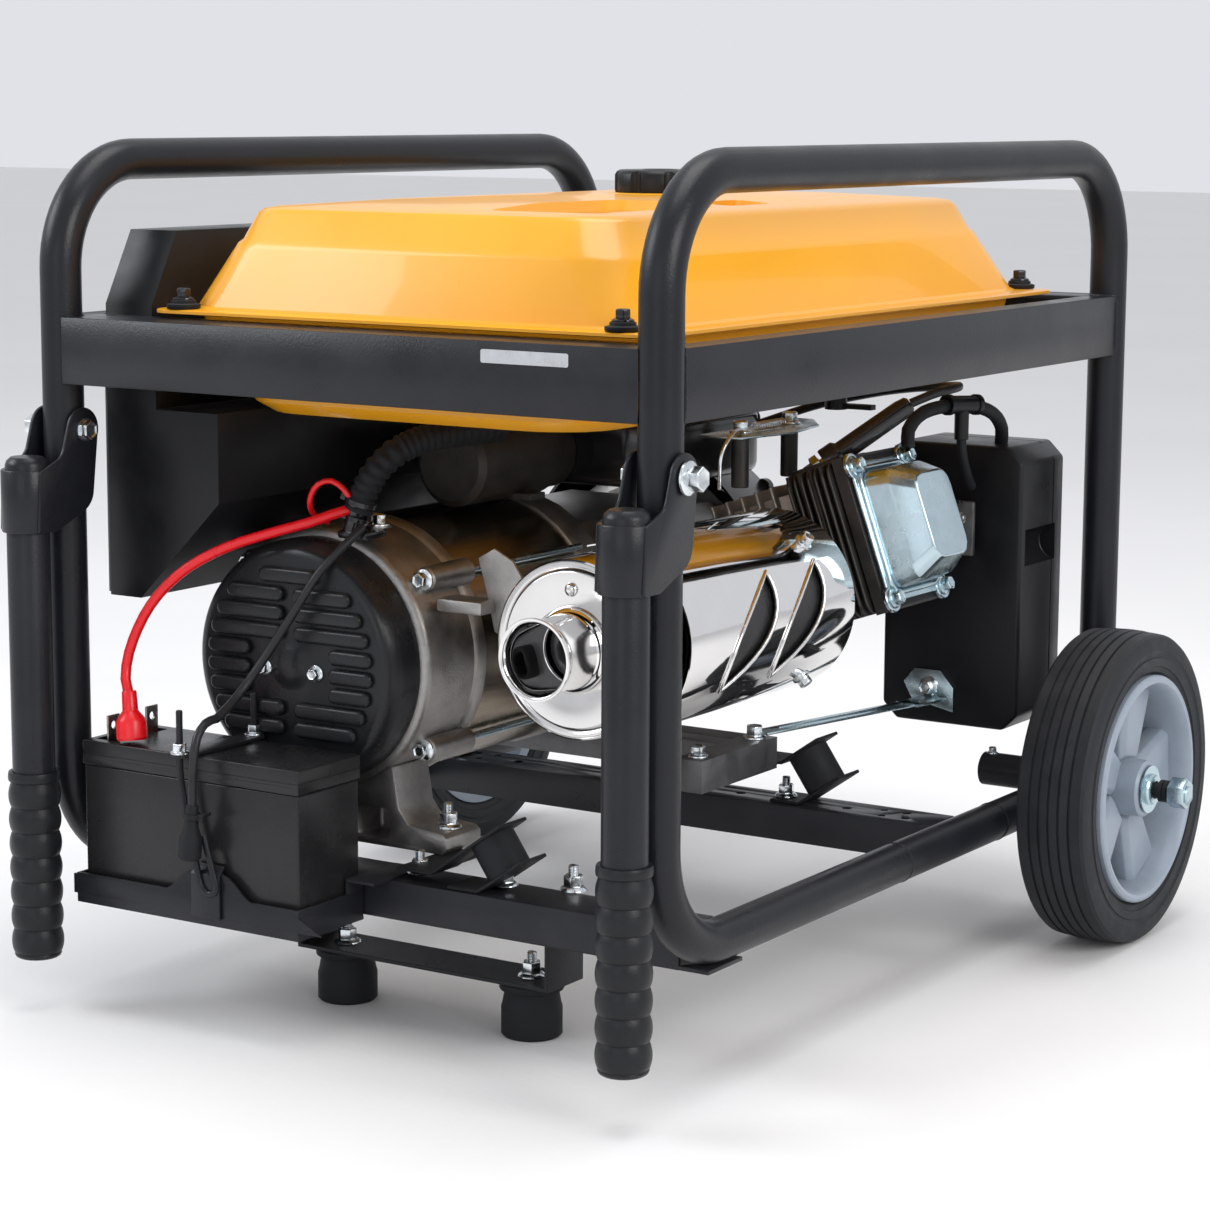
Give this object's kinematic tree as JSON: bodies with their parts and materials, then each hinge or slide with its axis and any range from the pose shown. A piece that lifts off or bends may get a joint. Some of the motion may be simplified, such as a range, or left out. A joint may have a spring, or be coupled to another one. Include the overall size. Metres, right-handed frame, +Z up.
{
  "type": "portable generator",
  "caption": "Open-frame portable petrol generator with a tube frame, yellow tank, chrome muffler, battery, wheels and folding handles.",
  "frame": {"origin": "on the ground, under the middle of the bounding box", "axes": "+X to the engine and wheel end, -X to the handle and battery end, -Y to the muffler side, +Z up"},
  "size_m": [0.771, 0.768, 0.6337],
  "materials": {
    "black_paint": "satin black powder coat",
    "rubber": "matt black rubber",
    "tyre": "solid rubber tyre",
    "wheel_plastic": "blue-grey moulded plastic",
    "black_plastic": "black moulded plastic",
    "tank_paint": "gloss golden-yellow paint",
    "panel_grey": "dark grey panel",
    "red_plastic": "red insulation and switch plastic",
    "cast_aluminium": "as-cast aluminium",
    "zinc_steel": "blue zinc-plated pressed steel",
    "chrome": "polished chrome",
    "dark_steel": "plain dark steel"
  },
  "bodies": {
    "frame": {"air_cleaner": "black_plastic", "alternator_end_bell": "cast_aluminium", "alternator_end_cover": "black_plastic", "alternator_mount_left": "rubber", "alternator_mount_right": "rubber", "alternator_stator": "dark_steel", "axle_left": "black_paint", "axle_right": "black_paint", "battery": "black_plastic", "battery_cable_black": "black_plastic", "battery_cable_red": "red_plastic", "battery_clamp": "black_paint", "battery_end_rail": "black_paint", "battery_tray": "black_paint", "blower_housing": "black_plastic", "carburettor": "cast_aluminium", "cylinder_head": "cast_aluminium", "engine_base": "dark_steel", "engine_block": "cast_aluminium", "engine_end_rail": "black_paint", "engine_mount_left": "rubber", "engine_mount_right": "rubber", "foot_bracket": "black_paint", "foot_left": "rubber", "foot_right": "rubber", "frame_loop_left": "black_paint", "frame_loop_right": "black_paint", "front_cross_member": "black_paint", "fuel_tank": "tank_paint", "heat_shield": "chrome", "muffler_body": "chrome", "panel_face": "panel_grey", "panel_housing": "black_plastic", "rear_cross_member": "black_paint", "tank_rail_left": "black_paint", "tank_rail_right": "black_paint", "valve_cover": "zinc_steel"},
    "wheel_left": {"tyre_left": "tyre", "rim_left": "wheel_plastic"},
    "handle_left": {"handle_tube_left": "black_paint", "handle_grip_left": "rubber", "handle_yoke_left": "black_paint"},
    "wheel_right": {"tyre_right": "tyre", "rim_right": "wheel_plastic"},
    "handle_right": {"handle_tube_right": "black_paint", "handle_grip_right": "rubber", "handle_yoke_right": "black_paint"},
    "crank_train": {"crankshaft": "dark_steel", "rotor": "dark_steel", "flywheel_fan": "cast_aluminium"},
    "recoil_grip": {"recoil_grip": "black_plastic"},
    "fuel_cap": {"fuel_cap": "black_plastic"},
    "oil_filler_cap": {"oil_filler_cap": "black_plastic"},
    "fuel_valve_lever": {"fuel_valve_lever": "black_plastic"},
    "choke_lever": {"choke_lever": "black_plastic"},
    "engine_key": {"engine_key": "black_plastic"},
    "breaker_rocker": {"breaker_rocker": "red_plastic"},
    "outlet_lid_1": {"outlet_lid_1": "black_plastic"},
    "outlet_lid_2": {"outlet_lid_2": "black_plastic"}
  },
  "joints": [
    {"name": "wheel_left_spin", "type": "hinge", "parent": "frame", "child": "wheel_left", "pos_m": [0.2605, 0.32, 0.125], "axis": [0, 1, 0], "continuous": true},
    {"name": "handle_left_fold", "type": "hinge", "parent": "frame", "child": "handle_left", "pos_m": [-0.3265, 0.255, 0.426], "axis": [0, 1, 0], "range_deg": [0, 90]},
    {"name": "wheel_right_spin", "type": "hinge", "parent": "frame", "child": "wheel_right", "pos_m": [0.2605, -0.32, 0.125], "axis": [0, 1, 0], "continuous": true},
    {"name": "handle_right_fold", "type": "hinge", "parent": "frame", "child": "handle_right", "pos_m": [-0.3265, -0.255, 0.426], "axis": [0, 1, 0], "range_deg": [0, 90]},
    {"name": "crankshaft_spin", "type": "hinge", "parent": "frame", "child": "crank_train", "pos_m": [0.0205, 0.097, 0.258], "axis": [1, 0, 0], "continuous": true},
    {"name": "recoil_pull", "type": "slide", "parent": "frame", "child": "recoil_grip", "axis": [1, 0, 0], "range_m": [0, 0.6]},
    {"name": "fuel_cap_turn", "type": "hinge", "parent": "frame", "child": "fuel_cap", "pos_m": [0.0805, 0, 0.6], "axis": [0, 0, 1], "range_deg": [0, 90]},
    {"name": "oil_cap_turn", "type": "hinge", "parent": "frame", "child": "oil_filler_cap", "pos_m": [0.0555, 0.0067, 0.2], "axis": [0, -1, 0], "continuous": true},
    {"name": "fuel_lever_turn", "type": "hinge", "parent": "frame", "child": "fuel_valve_lever", "pos_m": [0.1905, -0.1, 0.425], "axis": [0, 0, 1], "range_deg": [0, 90]},
    {"name": "choke_turn", "type": "hinge", "parent": "frame", "child": "choke_lever", "pos_m": [0.2295, -0.158, 0.3445], "axis": [0, 0, 1], "range_deg": [0, 60]},
    {"name": "key_turn", "type": "hinge", "parent": "frame", "child": "engine_key", "pos_m": [0.0605, 0.2521, 0.4], "axis": [0, 1, 0], "range_deg": [0, 60]},
    {"name": "breaker_rock", "type": "hinge", "parent": "frame", "child": "breaker_rocker", "pos_m": [-0.0095, 0.2428, 0.386], "axis": [1, 0, 0], "range_deg": [0, 14]},
    {"name": "outlet_lid_1_flip", "type": "hinge", "parent": "frame", "child": "outlet_lid_1", "pos_m": [-0.2095, 0.2571, 0.41], "axis": [1, 0, 0], "range_deg": [0, 110]},
    {"name": "outlet_lid_2_flip", "type": "hinge", "parent": "frame", "child": "outlet_lid_2", "pos_m": [-0.1295, 0.2571, 0.41], "axis": [1, 0, 0], "range_deg": [0, 110]}
  ]
}
